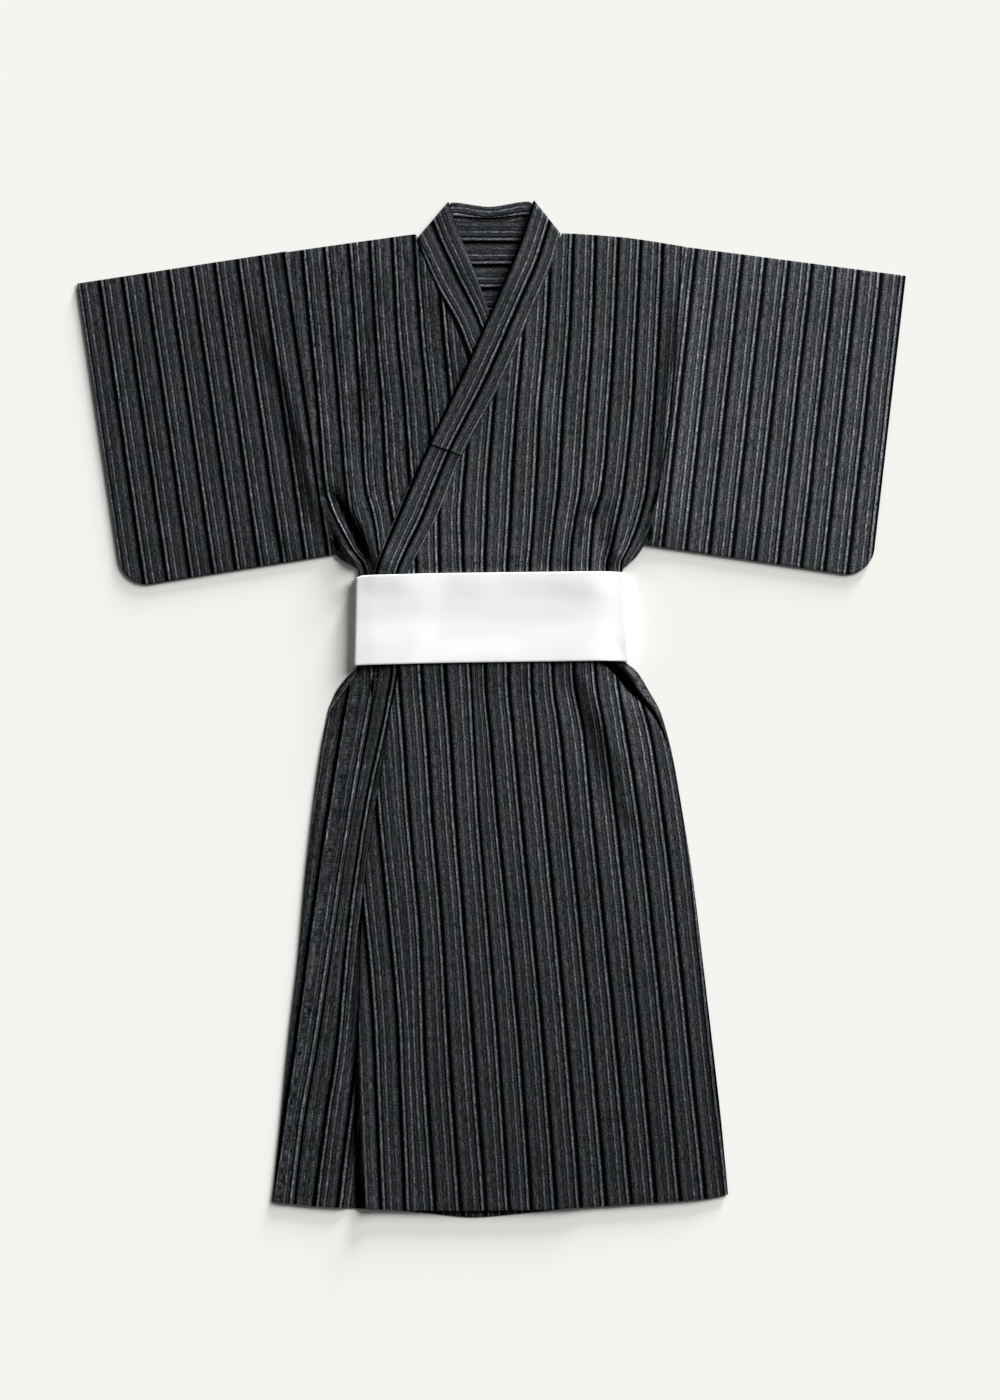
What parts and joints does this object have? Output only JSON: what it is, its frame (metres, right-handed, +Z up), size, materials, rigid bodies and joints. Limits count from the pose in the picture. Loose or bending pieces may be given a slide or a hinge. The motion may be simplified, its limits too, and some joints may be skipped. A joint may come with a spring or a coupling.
{
  "type": "cotton yukata robe",
  "caption": "Unlined cotton robe laid flat, closed left over right and held by a white sash; wide square sleeves, crossed folded collar and a striped weave.",
  "frame": {"origin": "under the middle of the garment's outline, on the surface that it lies on", "axes": "+Y from the hem to the collar, +Z up from the surface, +X to the wearer's left"},
  "size_m": [1.2835, 1.576, 0.0214],
  "materials": {
    "striped_cotton": "matt striped cotton",
    "striped_cotton_overlap": "matt striped cotton",
    "striped_cotton_sleeve": "matt striped cotton",
    "striped_cotton_collar": "matt striped cotton",
    "striped_cotton_lining": "matt striped cotton, cut across the grain",
    "white_cotton": "plain white cotton"
  },
  "bodies": {
    "root": {"body_left": "striped_cotton", "body_right": "striped_cotton", "overlap_left": "striped_cotton_overlap", "overlap_right": "striped_cotton_overlap", "sleeve_left": "striped_cotton_sleeve", "sleeve_right": "striped_cotton_sleeve", "collar_left": "striped_cotton_collar", "collar_right": "striped_cotton_collar", "collar_overlay_left": "striped_cotton_collar", "collar_overlay_right": "striped_cotton_collar", "collar_back": "striped_cotton_collar", "neck_lining": "striped_cotton_lining", "obi": "white_cotton"}
  },
  "joints": []
}
